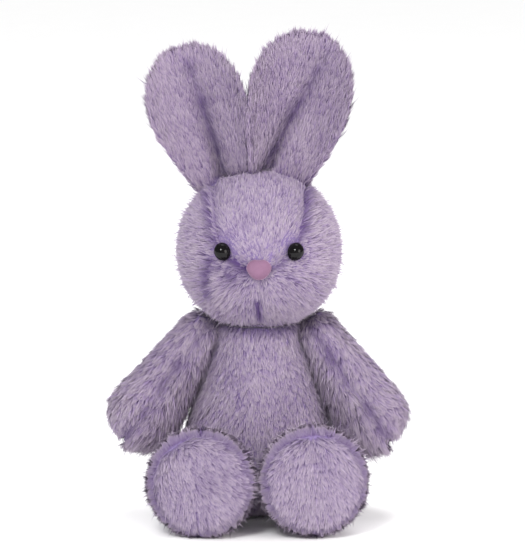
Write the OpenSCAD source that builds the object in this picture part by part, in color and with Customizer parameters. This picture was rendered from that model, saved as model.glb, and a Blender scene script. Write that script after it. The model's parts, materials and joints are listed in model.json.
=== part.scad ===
// Sitting stuffed rabbit: sewn plush panels over stuffing, with jointed head, ears, arms and legs.
// The rabbit sits on z = 0 and faces -Y. Left and right are its own, so its left arm is at +X.

/* [Fabric] */
// Thickness of the plush panels
skin_t = 1.8; // [1.2:0.1:2.4]
// Room between a panel and the stuffing behind it
stuffing_gap = 0.1; // [0.05:0.05:0.3]
// Width of the seam gap round the neck, the shoulders and the hips
seam_gap = 2.4; // [2:0.1:3.6]
// Diameter of the closing thread in those seams
thread_d = 1.6; // [1:0.1:1.6]
// Room between the arm and the torso where the arm lies against it
arm_room = 0.15; // [0.1:0.05:0.4]

/* [Torso] */
// Height of the torso from the seat to its neck rim
torso_h = 114; // [95:1:140]
// Radius of the torso at its widest
belly_r = 44; // [38:1:54]
// Height at which the torso is widest
belly_z = 30; // [24:1:38]
// Radius of the flat seat
seat_r = 32; // [26:1:36]
// Radius of the neck rim
neck_r = 24; // [19:1:30]
// Radius of the bean bag in the seat
seat_bag_r = 21; // [14:1:24]
// Height of the bean bag in the seat
seat_bag_h = 20; // [12:1:26]
// Distance of the bean bag behind the torso's axis
seat_bag_y = 9; // [4:1:12]
// Stuffing between the seat and its bean bag
seat_bag_gap = 1; // [0.5:0.5:3]

/* [Head] */
// Diameter of the head
head_d = 94; // [78:1:114]
// Width of the forehead panel at the crown
gusset_crown_w = 58; // [44:1:66]
// Width of the forehead panel between the eyes
gusset_eye_w = 43; // [34:1:48]
// Angle of each eye from straight ahead
eye_turn = 30; // [24:1:36]
// Height of the eyes over the head's middle
eye_rise = 6; // [0:1:12]
// Diameter of an eye's dome
eye_d = 11; // [9:0.5:13]
// Diameter of an eye's stem
eye_stem_d = 4; // [3:0.5:5]
// Drop of the nose below the head's middle
nose_drop = 4; // [0:1:12]
// Width of the nose
nose_w = 17; // [13:0.5:21]
// Height of the nose
nose_h = 12.5; // [10:0.5:16]
// How far the nose stands out
nose_out = 6; // [4:0.5:8]
// Diameter of the nose's stem
nose_stem_d = 5; // [4:0.5:6]
// Length of the stems of the eyes and nose behind the fabric
stem_l = 9; // [7:0.5:12]
// Diameter of the locking washers
washer_d = 14; // [11:0.5:16]
// Thickness of the locking washers
washer_t = 1.5; // [1:0.1:2]
// Room between a stem and its hole in the fabric
stem_fit = 0.05; // [0.02:0.01:0.1]

/* [Ears] */
// Length of the left ear from its root
left_ear_l = 86; // [70:1:104]
// Width of the left ear
left_ear_w = 57; // [46:1:69]
// Outward lean of the left ear
left_ear_lean = 9; // [6:0.5:20]
// Length of the right ear from its root
right_ear_l = 85; // [70:1:104]
// Width of the right ear
right_ear_w = 54; // [44:1:66]
// Outward lean of the right ear
right_ear_lean = 16.5; // [6:0.5:20]
// Sideways place of the line between the ears
ear_meet_x = -6.5; // [-8:0.5:0]
// Room between the two ears
ear_gap = 5; // [3:0.5:8]
// Distance of the ears behind the head's middle
ear_y = 4; // [0:1:8]
// Thickness of each of an ear's two layers
ear_layer_t = 3; // [2:0.2:4]
// Radius of the ear's cupped curve
ear_cup_r = 38; // [34:1:60]
// Width of the left ear's foot from its axis to its inner edge
left_ear_inner_w = 20; // [16:0.5:24]
// Width of the right ear's foot from its axis to its inner edge
right_ear_inner_w = 15; // [12:0.5:20]
// Width of an ear's foot from its axis to its outer edge
ear_outer_w = 13; // [10:0.5:16]
// Radius of an ear's pinched root
ear_root_r = 6.5; // [5:0.5:8]
// How far the middle of an ear's root stands out of the head
ear_root_out = 1; // [0:0.5:2]
// Height of an ear's lower edge over the middle of its root
ear_foot_z = 5; // [4:0.5:6]
// Room round an ear's root in the head
ear_root_fit = 0.4; // [0.3:0.1:1]

/* [Arms] */
// Distance between the centres of the shoulder and the paw
arm_l = 60; // [48:1:72]
// Radius of the arm at the shoulder
shoulder_r = 12; // [10:0.5:15]
// Radius of the paw
paw_r = 18.5; // [15:0.5:22]
// Angle of the left arm from straight down
left_arm_out = 35; // [34:1:60]
// Angle of the right arm from straight down
right_arm_out = 37; // [34:1:60]
// Forward angle of the arm
arm_forward = 8; // [0:1:20]
// How far the shoulder's near side reaches in over the neck's rim
shoulder_in = 1; // [-4:0.5:2]
// Room between the shoulder and the head
shoulder_head_gap = 2.2; // [1:0.1:5]

/* [Legs] */
// Length of the leg from the hip's centre to the sole
leg_l = 54; // [44:1:70]
// Radius of the hip
hip_r = 20; // [16:0.5:24]
// Height of the hip's centre
hip_z = 26; // [24:1:32]
// How far the hip's centre stands out of the belly
hip_out = 6; // [6:0.5:12]
// Room between the two hips
hips_gap = 13; // [9:1:20]
// Radius of the foot
foot_r = 30.5; // [25:0.5:37]
// Rounding of the foot's front edge
foot_edge_r = 10; // [8:0.5:12]
// Room between the two feet
feet_gap = 8; // [7:0.5:16]
// Height of the feet over the surface the rabbit sits on
foot_lift = 2.5; // [0.4:0.1:3]
// Further upward tilt of the left leg
left_leg_up = 2; // [0:0.5:6]
// Further upward tilt of the right leg
right_leg_up = 0; // [0:0.5:6]
// Further outward turn of the left leg
left_leg_out = 0; // [0:0.5:6]
// Further outward turn of the right leg
right_leg_out = 3; // [0:0.5:6]
// Depth of the sole's dish, from its front to its seam
sole_depth = 3; // [2.5:0.1:4]
// Radius of the bean bag in each foot
foot_bag_r = 18; // [12:1:20]
// Thickness of the bean bag in each foot
foot_bag_t = 18; // [10:1:20]
// Stuffing between the sole and its bean bag
foot_bag_gap = 2; // [0.5:0.5:4]

/* [Tail] */
// Radius of the tail
tail_r = 15; // [11:1:20]
// Height of the tail's middle
tail_z = 26; // [22:1:36]
// How far the tail's middle stands out of the back
tail_out = 9; // [7:0.5:12]

/* [Hidden] */
$fn = 64;

left = 1;
right = -1;
outer = 1;
inner = -1;
curve_steps = 18;
big = 400;
// How far a cutter reaches past what it cuts
over = 1;

plush = [0.68, 0.61, 0.75];
plush_dark = [0.58, 0.50, 0.66];
stuffing = [0.95, 0.95, 0.93];
bean_cloth = [0.85, 0.84, 0.80];
thread = [0.50, 0.42, 0.60];
eye_black = [0.03, 0.03, 0.04];
nose_mauve = [0.72, 0.52, 0.68];
washer_white = [0.90, 0.90, 0.90];

head_r = head_d / 2;
neck_socket_r = head_r + seam_gap;
head_z = torso_h + sqrt(neck_socket_r * neck_socket_r - neck_r * neck_r);
ring_middle = seam_gap / 2;
neck_ring_r = neck_r - 2;
shoulder_ring_r = shoulder_r - 5;
hip_ring_r = hip_r - 4;

shoulder_x = neck_r + shoulder_r - shoulder_in;
shoulder_head = head_r + shoulder_r + shoulder_head_gap;
shoulder_z = head_z - sqrt(shoulder_head * shoulder_head - shoulder_x * shoulder_x);

hip_x = hip_r + hips_gap / 2;
hip_y = -sqrt(pow(belly_r + hip_out, 2) - hip_x * hip_x);
leg_splay = asin((foot_r + feet_gap / 2 - hip_x) / leg_l);
leg_rise = asin((foot_r + foot_lift - hip_z) / (leg_l - foot_edge_r));

eye_height = asin(eye_rise / head_r);
nose_angle = asin(nose_drop / head_r);
inner_head_r = head_r - skin_t;
// Room round a washer, and round a stem, in the stuffing
washer_gap = 0.1;
washer_at = sqrt(inner_head_r * inner_head_r - pow(washer_d / 2, 2)) - washer_t - washer_gap;
stem_ridge = 0.4;

// An eye's dome: its height, the height of its upright rim and how far that rim tucks in below
eye_dome_h = 0.46 * eye_d;
eye_rim_h = 0.5;
eye_rim_tuck = 0.3;

// The nose's corners: their radius, how much the lower one is wider and taller, and the upper ones flatter
nose_corner_r = nose_h / 3;
nose_tip_wider = 1.3;
nose_tip_taller = 1.1;
nose_top_flatter = 0.9;

// Where an ear is widest, as a share of its length, and the bend of its sides below that
ear_wide_at = 0.58;
ear_side_bend = 0.9;

// How hollow the torso's sides are between its widest line and the neck
torso_hollow = 1.5;

tail_y = belly_r + tail_out;

// The torso's radius at a height, for the outside (inset 0) or for a surface that far inside it
function torso_r(z, inset) = z < belly_z
    ? seat_r + (belly_r - inset - seat_r) * sqrt(max(0, 1 - pow((belly_z - z) / (belly_z - inset), 2)))
    : neck_r - inset + (belly_r - neck_r)
        * pow(max(0, cos(90 * (z - belly_z) / (torso_h - belly_z))), torso_hollow);

// Points up the torso's side, closer together where it curves more
function torso_side(inset) = concat(
    [for (i = [0 : curve_steps])
        let (z = belly_z - (belly_z - inset) * cos(90 * i / curve_steps))
        [torso_r(z, inset), z]],
    [for (i = [1 : curve_steps])
        let (z = belly_z + (torso_h - belly_z) * i / curve_steps)
        [torso_r(z, inset), z]]
);

function reversed(list) = [for (i = [len(list) - 1 : -1 : 0]) list[i]];

function arc(centre, r, from, to) = [for (i = [0 : curve_steps])
    let (a = from + (to - from) * i / curve_steps)
    centre + r * [cos(a), sin(a)]];

// A ball of radius r1 at the origin and one of radius r2 at height l, with the cone between them
function limb(r1, r2, l) =
    let (slope = asin((r2 - r1) / l))
    concat(arc([0, 0], r1, -90, -slope), arc([0, l], r2, -slope, 90));

// A hip ball, the widening leg and a flat foot with a rounded front edge
function leg(inset) =
    let (
        rise = leg_l - foot_edge_r,
        run = foot_r - foot_edge_r,
        slope = acos((hip_r - foot_edge_r) / norm([run, rise])) - atan2(rise, run)
    )
    concat(
        arc([0, 0], hip_r - inset, -90, -slope),
        arc([run, rise], foot_edge_r - inset, -slope, 90),
        [[0, leg_l - inset]]
    );

// One side of an ear's outline, whose foot is base wide
function ear_side(length, width, base) =
    let (wide_at = ear_wide_at * length, half = width / 2)
    concat(
        [for (i = [0 : curve_steps])
            let (z = ear_foot_z + (wide_at - ear_foot_z) * i / curve_steps)
            [base + (half - base) * pow(sin(90 * i / curve_steps), ear_side_bend), z]],
        [for (i = [1 : curve_steps - 1])
            let (a = 90 * i / curve_steps)
            [half * cos(a), wide_at + (length - wide_at) * sin(a)]]
    );

// How far a leaning ear's inner edge reaches towards the other ear
function ear_reach(length, width, inner_w, lean) =
    max([for (p = ear_side(length, width, inner_w)) p.x * cos(lean) - p.y * sin(lean)]);

left_ear_x = ear_meet_x + ear_gap / 2 + ear_reach(left_ear_l, left_ear_w, left_ear_inner_w, left_ear_lean);
right_ear_x = ear_meet_x - ear_gap / 2
    - ear_reach(right_ear_l, right_ear_w, right_ear_inner_w, right_ear_lean);
function ear_x(side) = side == left ? left_ear_x : right_ear_x;
function ear_z(side) = head_z + sqrt(pow(head_r + ear_root_out, 2) - pow(ear_x(side), 2) - ear_y * ear_y);

// Half of space: the side of the plane through the origin that dir points to
module half_space(dir) {
    translate(dir * big / 2) cube(big, center = true);
}

module ring(r, d) {
    rotate_extrude() translate([r, 0]) circle(d = d, $fn = 24);
}

module ellipsoid(r, h) {
    rotate_extrude()
        polygon([for (i = [0 : curve_steps])
            let (a = -90 + 180 * i / curve_steps)
            [max(0, r * cos(a)), h / 2 * sin(a)]]);
}

module in_shoulder(side) {
    translate([side * shoulder_x, 0, shoulder_z]) children();
}

module along_arm(side) {
    in_shoulder(side)
        rotate([-arm_forward, 0, 0])
            rotate([0, side * (180 - (side == left ? left_arm_out : right_arm_out)), 0])
                children();
}

module in_hip(side) {
    translate([side * hip_x, hip_y, hip_z]) children();
}

module along_leg(side) {
    up = leg_rise + (side == left ? left_leg_up : right_leg_up);
    out = leg_splay + (side == left ? left_leg_out : right_leg_out);
    in_hip(side)
        rotate([90 - up, 0, side * out])
            children();
}

module in_ear(side) {
    translate([ear_x(side), ear_y, ear_z(side)])
        rotate([0, side * (side == left ? left_ear_lean : right_ear_lean), 0])
            children();
}

module in_head() {
    translate([0, 0, head_z]) children();
}

// Puts the child on the head's surface, its Z axis pointing out
module at_eye(side) {
    in_head() rotate([90 - eye_height, 0, side * eye_turn]) children();
}

module at_nose() {
    in_head() rotate([90 + nose_angle, 0, 0]) children();
}

// Torso

module joint_sockets() {
    in_head() sphere(r = neck_socket_r);
    for (side = [left, right]) {
        in_shoulder(side) sphere(r = shoulder_r + seam_gap);
        along_arm(side) arm_shape(-arm_room);
        in_hip(side) sphere(r = hip_r + seam_gap);
    }
}

module torso_skin() {
    difference() {
        rotate_extrude() polygon(concat(torso_side(0), reversed(torso_side(skin_t))));
        joint_sockets();
    }
}

module belly() {
    color(plush) intersection() {
        torso_skin();
        half_space([0, -1, 0]);
    }
}

module back(side) {
    color(plush) intersection() {
        torso_skin();
        half_space([0, 1, 0]);
        half_space([side, 0, 0]);
    }
}

module seat() {
    color(plush_dark) cylinder(r = seat_r, h = skin_t);
}

module seat_bag_shape() {
    translate([0, seat_bag_y, skin_t + seat_bag_gap + seat_bag_h / 2]) ellipsoid(seat_bag_r, seat_bag_h);
}

module torso_stuffing() {
    inset = skin_t + stuffing_gap;
    color(stuffing) difference() {
        rotate_extrude()
            polygon(concat([[0, inset]], torso_side(inset), [[0, torso_h]]));
        joint_sockets();
        seat_bag_shape();
    }
}

module seat_bean_bag() {
    color(bean_cloth) seat_bag_shape();
}

// Tail, sewn flat against the back

module tail_ball(r) {
    intersection() {
        translate([0, tail_y, tail_z]) rotate([90, 0, 0]) sphere(r = r);
        translate([0, belly_r, 0]) half_space([0, 1, 0]);
    }
}

module tail_cover() {
    color(plush) difference() {
        tail_ball(tail_r);
        translate([0, tail_y, tail_z]) rotate([90, 0, 0]) sphere(r = tail_r - skin_t);
    }
}

module tail_stuffing() {
    color(stuffing) tail_ball(tail_r - skin_t - stuffing_gap);
}

// Head

module neck_stitching() {
    ring_from_middle = head_r + ring_middle;
    color(thread)
        translate([0, 0, head_z - sqrt(pow(ring_from_middle, 2) - pow(neck_ring_r, 2))])
            ring(neck_ring_r, thread_d);
}

module head_holes() {
    for (side = [left, right]) {
        at_eye(side) cylinder(d = eye_stem_d + 2 * stem_fit, h = big);
        translate([ear_x(side), ear_y, ear_z(side)]) sphere(r = ear_root_r + ear_root_fit);
    }
    at_nose() cylinder(d = nose_stem_d + 2 * stem_fit, h = big);
}

module head_shell() {
    in_head() difference() {
        sphere(r = head_r);
        sphere(r = inner_head_r);
    }
}

// The forehead panel's share of space, from the crown down to the nose
module gusset_wedge() {
    crown = gusset_crown_w / 2;
    brow = gusset_eye_w / 2;
    tip = nose_w / 3;
    in_head() rotate([90, 0, 0]) linear_extrude(height = big)
        polygon([
            [-tip, -nose_drop], [tip, -nose_drop], [brow, eye_rise],
            [crown, head_r + over], [-crown, head_r + over], [-brow, eye_rise]
        ]);
}

module face_gusset() {
    color(plush) difference() {
        intersection() {
            head_shell();
            gusset_wedge();
        }
        head_holes();
    }
}

// A quarter of the head's shell: one side of the front or of the back
module head_quarter(side, facing) {
    intersection() {
        rotate([0, 0, side == left ? 0 : 180]) head_shell();
        translate([side * big / 2, facing * big / 2, head_z]) cube(big, center = true);
    }
}

module cheek(side) {
    color(plush) difference() {
        head_quarter(side, -1);
        gusset_wedge();
        head_holes();
    }
}

module head_back(side) {
    color(plush) difference() {
        head_quarter(side, 1);
        head_holes();
    }
}

module washer(at, stem_d) {
    translate([0, 0, at]) difference() {
        cylinder(d = washer_d, h = washer_t);
        translate([0, 0, -over]) cylinder(d = stem_d, h = washer_t + 2 * over);
    }
}

// The hollow that a stem and its washer press into the stuffing
module washer_pocket(stem_d) {
    translate([0, 0, washer_at - washer_gap]) cylinder(d = washer_d + 2 * washer_gap, h = big);
    translate([0, 0, head_r - stem_l - washer_gap])
        cylinder(d = stem_d + 2 * (stem_ridge + washer_gap), h = big);
}

module head_stuffing() {
    color(stuffing) difference() {
        in_head() sphere(r = inner_head_r - stuffing_gap);
        head_holes();
        for (side = [left, right]) at_eye(side) washer_pocket(eye_stem_d);
        at_nose() washer_pocket(nose_stem_d);
    }
}

// A stem with one locking ridge under the washer
module stem(d) {
    translate([0, 0, head_r - stem_l]) {
        cylinder(d = d, h = stem_l);
        cylinder(d1 = d, d2 = d + 2 * stem_ridge, h = 2 * stem_ridge);
    }
}

module eye(side) {
    color(eye_black) at_eye(side) {
        stem(eye_stem_d);
        translate([0, 0, head_r]) rotate_extrude()
            polygon(concat(
                [[0, 0], [eye_d / 2 - eye_rim_tuck, 0]],
                [for (i = [0 : curve_steps])
                    let (a = 90 * i / curve_steps)
                    [eye_d / 2 * cos(a), eye_rim_h + (eye_dome_h - eye_rim_h) * sin(a)]]
            ));
    }
}

module eye_washer(side) {
    color(washer_white) at_eye(side) washer(washer_at, eye_stem_d);
}

// A broad soft triangle with its point down
module nose() {
    r = nose_corner_r;
    depth = nose_out / r;
    color(nose_mauve) at_nose() {
        stem(nose_stem_d);
        translate([0, 0, head_r]) intersection() {
            hull() {
                for (x = [-1, 1])
                    translate([x * (nose_w / 2 - r), nose_h / 2 - r, 0])
                        scale([1, 1, depth * nose_top_flatter]) sphere(r = r, $fn = 32);
                translate([0, r * nose_tip_taller - nose_h / 2, 0])
                    scale([nose_tip_wider, nose_tip_taller, depth]) sphere(r = r, $fn = 32);
            }
            half_space([0, 0, 1]);
        }
    }
}

module nose_washer() {
    color(washer_white) at_nose() washer(washer_at, nose_stem_d);
}

// Ears: two layers, cupped about an upright axis in front, with a pinched round root

module ear_blade(side, inner_r, outer_r) {
    length = side == left ? left_ear_l : right_ear_l;
    width = side == left ? left_ear_w : right_ear_w;
    inner_w = side == left ? left_ear_inner_w : right_ear_inner_w;
    intersection() {
        rotate([90, 0, 0]) linear_extrude(height = big, center = true)
            polygon(concat(
                [for (p = ear_side(length, width, inner_w)) [-side * p.x, p.y]],
                [[0, length]],
                [for (p = reversed(ear_side(length, width, ear_outer_w))) [side * p.x, p.y]]
            ));
        translate([0, -ear_cup_r, 0]) difference() {
            cylinder(r = outer_r, h = length + over);
            translate([0, 0, -over]) cylinder(r = inner_r, h = length + 3 * over);
        }
        translate([0, -ear_cup_r, 0]) half_space([0, 1, 0]);
    }
}

module cup_core() {
    translate([0, -ear_cup_r, -big / 2]) cylinder(r = ear_cup_r, h = big);
}

module ear_front(side) {
    color(plush) in_ear(side) {
        ear_blade(side, ear_cup_r - ear_layer_t, ear_cup_r);
        intersection() {
            sphere(r = ear_root_r);
            cup_core();
        }
    }
}

module ear_back(side) {
    color(plush_dark) in_ear(side) {
        ear_blade(side, ear_cup_r, ear_cup_r + ear_layer_t);
        difference() {
            sphere(r = ear_root_r);
            cup_core();
        }
    }
}

// Arms

module arm_shape(inset) {
    rotate_extrude() polygon(limb(shoulder_r - inset, paw_r - inset, arm_l));
}

module arm_half(side, part) {
    color(plush) along_arm(side) intersection() {
        difference() {
            arm_shape(0);
            arm_shape(skin_t);
        }
        half_space([-part * side, 0, 0]);
    }
}

module arm_stuffing(side) {
    color(stuffing) along_arm(side) arm_shape(skin_t + stuffing_gap);
}

module shoulder_stitching(side) {
    ring_from_middle = shoulder_r + ring_middle;
    color(thread) in_shoulder(side)
        rotate([0, 90, 0])
            translate([0, 0, -side * sqrt(pow(ring_from_middle, 2) - pow(shoulder_ring_r, 2))])
                ring(shoulder_ring_r, thread_d);
}

// Legs

module leg_shape(inset) {
    rotate_extrude() polygon(leg(inset));
}

module leg_skin() {
    difference() {
        leg_shape(0);
        leg_shape(skin_t);
    }
}

module leg_half(side, part) {
    color(plush) along_leg(side) intersection() {
        leg_skin();
        half_space([part * side, 0, 0]);
        translate([0, 0, leg_l - sole_depth]) half_space([0, 0, -1]);
    }
}

module sole(side) {
    color(plush_dark) along_leg(side) intersection() {
        leg_skin();
        translate([0, 0, leg_l - sole_depth]) half_space([0, 0, 1]);
    }
}

module foot_bag_shape() {
    translate([0, 0, leg_l - skin_t - foot_bag_gap - foot_bag_t / 2]) ellipsoid(foot_bag_r, foot_bag_t);
}

module leg_stuffing(side) {
    color(stuffing) along_leg(side) difference() {
        leg_shape(skin_t + stuffing_gap);
        foot_bag_shape();
    }
}

module foot_bean_bag(side) {
    color(bean_cloth) along_leg(side) foot_bag_shape();
}

module hip_stitching(side) {
    ring_from_middle = hip_r + ring_middle;
    color(thread) in_hip(side)
        rotate([90, 0, side * atan2(hip_x, -hip_y)])
            translate([0, 0, -sqrt(pow(ring_from_middle, 2) - pow(hip_ring_r, 2))])
                ring(hip_ring_r, thread_d);
}

belly();
back(left);  // back_left
back(right);  // back_right
seat();
torso_stuffing();
seat_bean_bag();
tail_cover();
tail_stuffing();
neck_stitching();
face_gusset();
cheek(left);  // left_cheek
cheek(right);  // right_cheek
head_back(left);  // head_back_left
head_back(right);  // head_back_right
head_stuffing();
eye(left);  // left_eye
eye(right);  // right_eye
eye_washer(left);  // left_eye_washer
eye_washer(right);  // right_eye_washer
nose();
nose_washer();
ear_front(left);  // left_ear_front
ear_back(left);  // left_ear_back
ear_front(right);  // right_ear_front
ear_back(right);  // right_ear_back
shoulder_stitching(left);  // left_shoulder_stitching
arm_half(left, outer);  // left_arm_outer
arm_half(left, inner);  // left_arm_inner
arm_stuffing(left);  // left_arm_stuffing
shoulder_stitching(right);  // right_shoulder_stitching
arm_half(right, outer);  // right_arm_outer
arm_half(right, inner);  // right_arm_inner
arm_stuffing(right);  // right_arm_stuffing
hip_stitching(left);  // left_hip_stitching
leg_half(left, outer);  // left_leg_outer
leg_half(left, inner);  // left_leg_inner
sole(left);  // left_sole
leg_stuffing(left);  // left_leg_stuffing
foot_bean_bag(left);  // left_foot_bean_bag
hip_stitching(right);  // right_hip_stitching
leg_half(right, outer);  // right_leg_outer
leg_half(right, inner);  // right_leg_inner
sole(right);  // right_sole
leg_stuffing(right);  // right_leg_stuffing
foot_bean_bag(right);  // right_foot_bean_bag
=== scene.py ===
import json
import math
import bpy
import numpy as np
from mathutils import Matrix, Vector
from mathutils.kdtree import KDTree


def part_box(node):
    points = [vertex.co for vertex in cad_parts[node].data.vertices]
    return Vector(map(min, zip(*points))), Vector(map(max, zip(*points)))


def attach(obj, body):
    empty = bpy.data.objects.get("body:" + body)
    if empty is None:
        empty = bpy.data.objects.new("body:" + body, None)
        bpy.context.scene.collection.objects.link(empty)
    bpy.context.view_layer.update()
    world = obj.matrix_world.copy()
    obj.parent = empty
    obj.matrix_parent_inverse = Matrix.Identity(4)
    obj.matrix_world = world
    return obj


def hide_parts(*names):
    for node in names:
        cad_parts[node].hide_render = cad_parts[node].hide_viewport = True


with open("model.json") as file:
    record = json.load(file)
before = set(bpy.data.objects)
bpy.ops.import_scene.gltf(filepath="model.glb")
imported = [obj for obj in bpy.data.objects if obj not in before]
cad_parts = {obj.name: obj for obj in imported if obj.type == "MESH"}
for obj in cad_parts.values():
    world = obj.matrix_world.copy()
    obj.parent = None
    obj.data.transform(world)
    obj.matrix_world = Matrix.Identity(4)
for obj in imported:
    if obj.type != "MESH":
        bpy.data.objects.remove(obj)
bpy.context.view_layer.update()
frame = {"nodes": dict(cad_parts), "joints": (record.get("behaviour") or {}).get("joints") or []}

print("frame loaded", len(frame["nodes"]), "nodes")

scene = bpy.context.scene
joints = {j["name"]: Vector(j["pos_m"]) for j in frame["joints"]}


# shader maths

class Wire:
    # one output of a node, so that a material's maths reads as sums
    def __init__(self, tree, socket):
        self.tree = tree
        self.socket = socket

    def node(self, kind, settings, values):
        made = self.tree.nodes.new(kind)
        for name, value in settings.items():
            setattr(made, name, value)
        for name, value in values.items():
            if isinstance(value, Wire):
                self.tree.links.new(value.socket, made.inputs[name])
            else:
                made.inputs[name].default_value = value
        return made

    def out(self, kind, settings, values, name=0):
        return Wire(self.tree, self.node(kind, settings, values).outputs[name])

    def maths(self, operation, *values):
        return self.out("ShaderNodeMath", {"operation": operation}, dict(enumerate(values)))

    def clamped(self):
        return self.out("ShaderNodeClamp", {}, {"Value": self})

    def between(self, low, high):
        return self.out("ShaderNodeMapRange", {"interpolation_type": "SMOOTHSTEP"},
                        {"Value": self, "From Min": low, "From Max": high})


def operator(operation, swapped):
    return lambda self, other: self.maths(operation, *((other, self) if swapped else (self, other)))


for name, operation in (("add", "ADD"), ("sub", "SUBTRACT"), ("mul", "MULTIPLY"), ("pow", "POWER")):
    setattr(Wire, "__" + name + "__", operator(operation, False))
    setattr(Wire, "__r" + name + "__", operator(operation, True))


def mixed(share, first, second):
    # a colour between two others
    made = share.node("ShaderNodeMix", {"data_type": "RGBA"}, {0: share})
    for place, value in ((6, first), (7, second)):
        if isinstance(value, Wire):
            share.tree.links.new(value.socket, made.inputs[place])
        else:
            made.inputs[place].default_value = (*value, 1)
    return Wire(share.tree, made.outputs[2])


def material(name, settings):
    made = bpy.data.materials.new(name)
    made.use_nodes = True
    shader = made.node_tree.nodes["Principled BSDF"]
    for key, value in settings.items():
        shader.inputs[key].default_value = value
    tree = made.node_tree
    place = tree.nodes.new("ShaderNodeTexCoord")
    return made, shader, Wire(tree, place.outputs["Object"])


def connect(wire, shader, name):
    wire.tree.links.new(wire.socket, shader.inputs[name])


def noise(place, scale, detail=2, rough=0.5):
    return place.out("ShaderNodeTexNoise", {},
                     {"Vector": place, "Scale": scale, "Detail": detail, "Roughness": rough}, "Fac")


def bump(height, strength, depth):
    return height.out("ShaderNodeBump", {}, {"Height": height, "Strength": strength, "Distance": depth})


# materials

# the root colour is painted shade, used deep in the pile and over creases; body and tip are the plush's own
# colours
pileColours = {
    "plush": {"root": (0.088, 0.048, 0.165), "body": (0.262, 0.196, 0.332), "tip": (0.404, 0.340, 0.422)},
    "plush_ear": {"root": (0.080, 0.044, 0.150), "body": (0.246, 0.180, 0.305),
                  "tip": (0.380, 0.314, 0.404)},
    "plush_sole": {"root": (0.080, 0.045, 0.150), "body": (0.250, 0.190, 0.312),
                   "tip": (0.400, 0.334, 0.430)},
}
# a fine noise gives the relief, and with a coarse one, each in its share, the colour
grains = {
    "knitted_backing": {
        "shader": {"Roughness": 0.9, "Sheen Weight": 0.2},
        "fine": (900, 2, 0.6), "coarse": (60, 2), "shares": (0.7, 0.5), "relief": (0.4, 0.0006),
        "dark": (0.085, 0.055, 0.150), "light": (0.235, 0.165, 0.360)},
    "polyester_fibre": {
        "shader": {"Roughness": 0.85, "Sheen Weight": 0.5},
        "fine": (320, 6, 0.7), "coarse": (45, 3), "shares": (0.7, 0.4), "relief": (0.7, 0.001),
        "dark": (0.70, 0.69, 0.66), "light": (0.95, 0.95, 0.93)},
    "flocked_nose": {
        "shader": {"Roughness": 0.62, "Sheen Weight": 0.55, "Sheen Roughness": 0.35,
                   "Sheen Tint": (0.95, 0.75, 0.92, 1), "Specular IOR Level": 0.3},
        "fine": (2600, 2, 0.7), "coarse": (160, 3), "shares": (0.55, 0.55), "relief": (0.35, 0.0003),
        "dark": (0.135, 0.060, 0.120), "light": (0.270, 0.145, 0.232)},
    "moulded_nylon": {
        "shader": {"Roughness": 0.45},
        "fine": (1500, 2), "coarse": (160, 3), "shares": (1.0, 0.0), "relief": (0.15, 0.0002),
        "dark": (0.76, 0.76, 0.74), "light": (0.90, 0.90, 0.89)},
    "studio_floor": {
        "shader": {"Roughness": 0.9},
        "fine": (900, 2), "coarse": (30, 4), "shares": (0.0, 1.0), "relief": (0.05, 0.0003),
        "dark": (0.95, 0.95, 0.95), "light": (0.97, 0.97, 0.97)},
}


def pileMaterial(slot):
    colours = pileColours[slot]
    made, shader, place = material("pile_" + slot, {
        "Roughness": 0.78, "Sheen Weight": 0.35, "Sheen Roughness": 0.45,
        "Sheen Tint": (0.88, 0.84, 0.92, 1), "Specular IOR Level": 0.22})
    # the place along a strand, its own random number (raised by painted light on the leg rims), and how
    # deep it sits in a seam, which sets the painted shade
    grown = place.node("ShaderNodeAttribute", {"attribute_name": "pile"}, {})
    split = place.node("ShaderNodeSeparateXYZ", {}, {"Vector": Wire(place.tree, grown.outputs["Vector"])})
    along, own, fold = (Wire(place.tree, split.outputs[i]) for i in range(3))
    patches = noise(place, 55, 3, 0.6)
    fine = noise(place, 420, 1, 0.5)
    # darker toward the root is painted shade deep in the pile; own, patches and fine add random tone
    height = (along ** 0.9 + (own - 0.5) * 0.5 + (patches - 0.5) * 0.55 + (fine - 0.5) * 0.25).clamped()
    low = mixed(height.between(0.0, 0.5), colours["root"], colours["body"])
    full = mixed(height.between(0.35, 1.0), low, colours["tip"])
    # painted shade: the root colour laid over seams, partings and creases
    paintedShade = mixed((fold * 0.8).clamped(), full, colours["root"])
    connect(paintedShade, shader, "Base Color")
    return made


def grainMaterial(name):
    look = grains[name]
    made, shader, place = material(name, look["shader"])
    fine, coarse = noise(place, *look["fine"]), noise(place, *look["coarse"])
    share = (fine * look["shares"][0] + coarse * look["shares"][1]).clamped()
    connect(mixed(share, look["dark"], look["light"]), shader, "Base Color")
    connect(bump(fine, *look["relief"]), shader, "Normal")
    return made


def wovenMaterial(name, dark, light, pitch):
    made, shader, place = material(name, {"Roughness": 0.82})
    # two crossed sets of threads
    split = place.node("ShaderNodeSeparateXYZ", {}, {"Vector": place})
    x, y, z = (Wire(place.tree, split.outputs[i]) for i in range(3))
    warp = x.maths("SINE", (x + y * 0.3) * (2 * math.pi / pitch))
    weft = z.maths("SINE", (z + y * 0.7) * (2 * math.pi / pitch))
    weave = (warp * 0.5 + weft * 0.5) * 0.5 + 0.5
    stain = noise(place, 90, 3)
    connect(mixed((weave * 0.6 + stain * 0.5).clamped(), dark, light), shader, "Base Color")
    connect(bump(weave, 0.5, 0.0004), shader, "Normal")
    return made


def threadMaterial():
    made, shader, place = material("twisted_thread", {"Roughness": 0.6, "Sheen Weight": 0.3})
    ply = place.out("ShaderNodeTexWave", {"wave_type": "BANDS", "bands_direction": "DIAGONAL"},
                    {"Vector": place, "Scale": 420.0, "Distortion": 1.5}, "Fac")
    connect(mixed(ply, (0.13, 0.085, 0.20), (0.34, 0.26, 0.44)), shader, "Base Color")
    connect(bump(ply, 0.6, 0.0004), shader, "Normal")
    return made


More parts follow.
